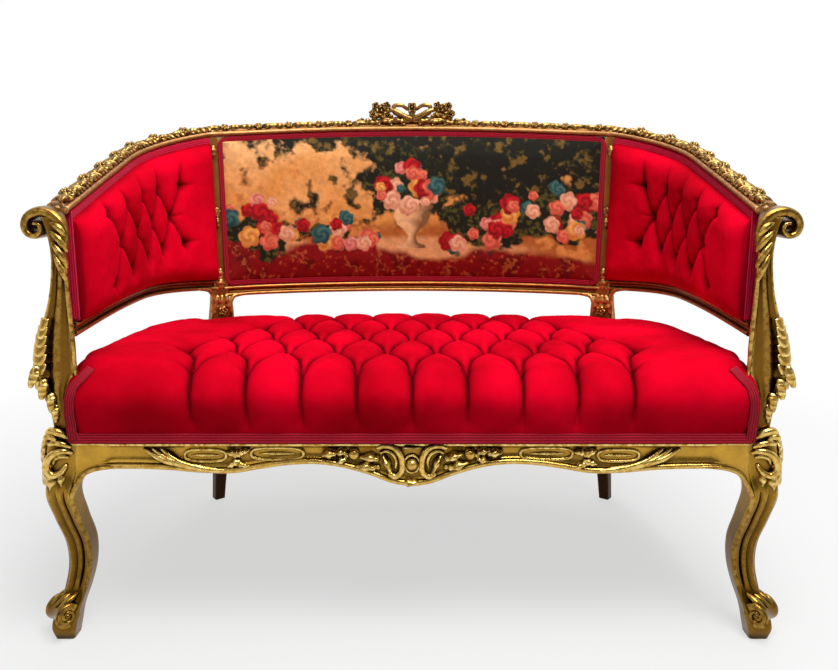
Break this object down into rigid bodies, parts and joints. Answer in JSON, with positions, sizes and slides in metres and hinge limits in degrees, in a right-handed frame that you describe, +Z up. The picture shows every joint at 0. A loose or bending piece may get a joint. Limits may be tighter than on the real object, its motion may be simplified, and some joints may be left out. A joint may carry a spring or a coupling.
{
  "type": "settee",
  "caption": "Two-seat settee with a carved gilt show-wood frame, horseshoe back, cabriole front legs, tufted velvet seat and wings, and a printed centre back.",
  "frame": {"origin": "on the floor under the middle of the settee's box", "axes": "+X to the right of someone facing the settee, +Y from its front to its back, +Z up"},
  "size_m": [1.2404, 0.7156, 0.9511],
  "materials": {
    "gilt_wood": "antique gilding, satin",
    "bare_wood": "unfinished",
    "steel_screws": "plain",
    "red_velvet": "velvet pile",
    "gimp_braid": "woven braid",
    "printed_cloth": "printed tapestry weave",
    "foam": "open cell",
    "jute": "plain weave",
    "dust_cloth": "plain weave"
  },
  "bodies": {
    "root": {"front_leg_left": "gilt_wood", "front_leg_right": "gilt_wood", "arm_post_left": "gilt_wood", "arm_post_right": "gilt_wood", "back_post_left": "gilt_wood", "back_post_right": "gilt_wood", "front_rail": "gilt_wood", "side_rail_left": "gilt_wood", "side_rail_right": "gilt_wood", "back_rail": "gilt_wood", "crest_rail": "gilt_wood", "arm_rail_left": "gilt_wood", "arm_rail_right": "gilt_wood", "lower_back_rail": "gilt_wood", "lower_wing_rail_left": "gilt_wood", "lower_wing_rail_right": "gilt_wood", "crest_ornament": "gilt_wood", "crest_garland_left": "gilt_wood", "crest_garland_right": "gilt_wood", "arm_garland_left": "gilt_wood", "arm_garland_right": "gilt_wood", "apron_cartouche": "gilt_wood", "apron_sprays": "gilt_wood", "knee_acanthus_left": "gilt_wood", "knee_acanthus_right": "gilt_wood", "post_acanthus_left": "gilt_wood", "post_acanthus_right": "gilt_wood", "stile_carvings": "gilt_wood", "seat_cross_rail": "bare_wood", "front_corner_blocks": "bare_wood", "back_corner_blocks": "bare_wood", "frame_dowels": "bare_wood", "corner_block_screws": "steel_screws", "seat_cover": "red_velvet", "seat_buttons": "red_velvet", "wing_cover_left": "red_velvet", "wing_cover_right": "red_velvet", "wing_buttons_left": "red_velvet", "wing_buttons_right": "red_velvet", "outside_back_cover": "red_velvet", "outside_wing_cover_left": "red_velvet", "outside_wing_cover_right": "red_velvet", "seat_gimp": "gimp_braid", "wing_gimp_left": "gimp_braid", "wing_gimp_right": "gimp_braid", "back_gimp": "gimp_braid", "back_cover": "printed_cloth", "seat_foam": "foam", "wing_foam_left": "foam", "wing_foam_right": "foam", "back_foam": "foam", "seat_webbing": "jute", "wing_webbing_left": "jute", "wing_webbing_right": "jute", "back_webbing": "jute", "seat_hessian": "jute", "dust_cover": "dust_cloth"}
  },
  "joints": []
}
